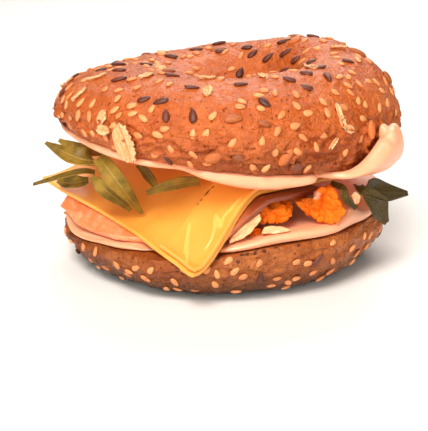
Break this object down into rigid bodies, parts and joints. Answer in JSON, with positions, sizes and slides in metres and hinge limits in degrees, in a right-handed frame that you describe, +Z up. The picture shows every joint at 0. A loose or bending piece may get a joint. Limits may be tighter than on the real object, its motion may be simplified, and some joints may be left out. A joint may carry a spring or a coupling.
{
  "type": "filled bagel",
  "caption": "Seeded bagel cut in half and filled with soft cheese, ham, sliced cheese, boiled egg and rocket leaves.",
  "frame": {"origin": "centre of the bounding box at the level of the flat base", "axes": "+Z up through the hole of the bagel, -Y towards the open front where the cheese corner hangs out, +X to the right seen from the front"},
  "size_m": [0.1154, 0.1107, 0.0664],
  "materials": {
    "crust": "baked golden crust, slightly blistered, strewn with seeds and flakes",
    "cream": "glossy smooth cream cheese",
    "cheese": "semi-gloss yellow slice",
    "ham": "moist pink sliced ham",
    "egg_white": "smooth boiled egg white",
    "egg_yolk": "crumbly boiled yolk",
    "leaf": "thin green leaf"
  },
  "bodies": {
    "root": {"bagel_bottom": "crust", "bagel_top": "crust", "cream_lower": "cream", "cream_upper": "cream", "ham": "ham", "cheese_lower": "cheese", "cheese_upper": "cheese", "egg_white_slab": "egg_white", "egg_white_front": "egg_white", "egg_white_side": "egg_white", "egg_yolk_front": "egg_yolk", "egg_yolk_side": "egg_yolk", "egg_crumb": "egg_yolk", "leaf_left_outer": "leaf", "leaf_left_front": "leaf", "leaf_left_blade": "leaf", "leaf_left_thin": "leaf", "leaf_left_low": "leaf", "leaf_left_back": "leaf", "stem_left": "leaf", "stem_middle": "leaf", "stem_right": "leaf", "leaf_right": "leaf"}
  },
  "joints": []
}
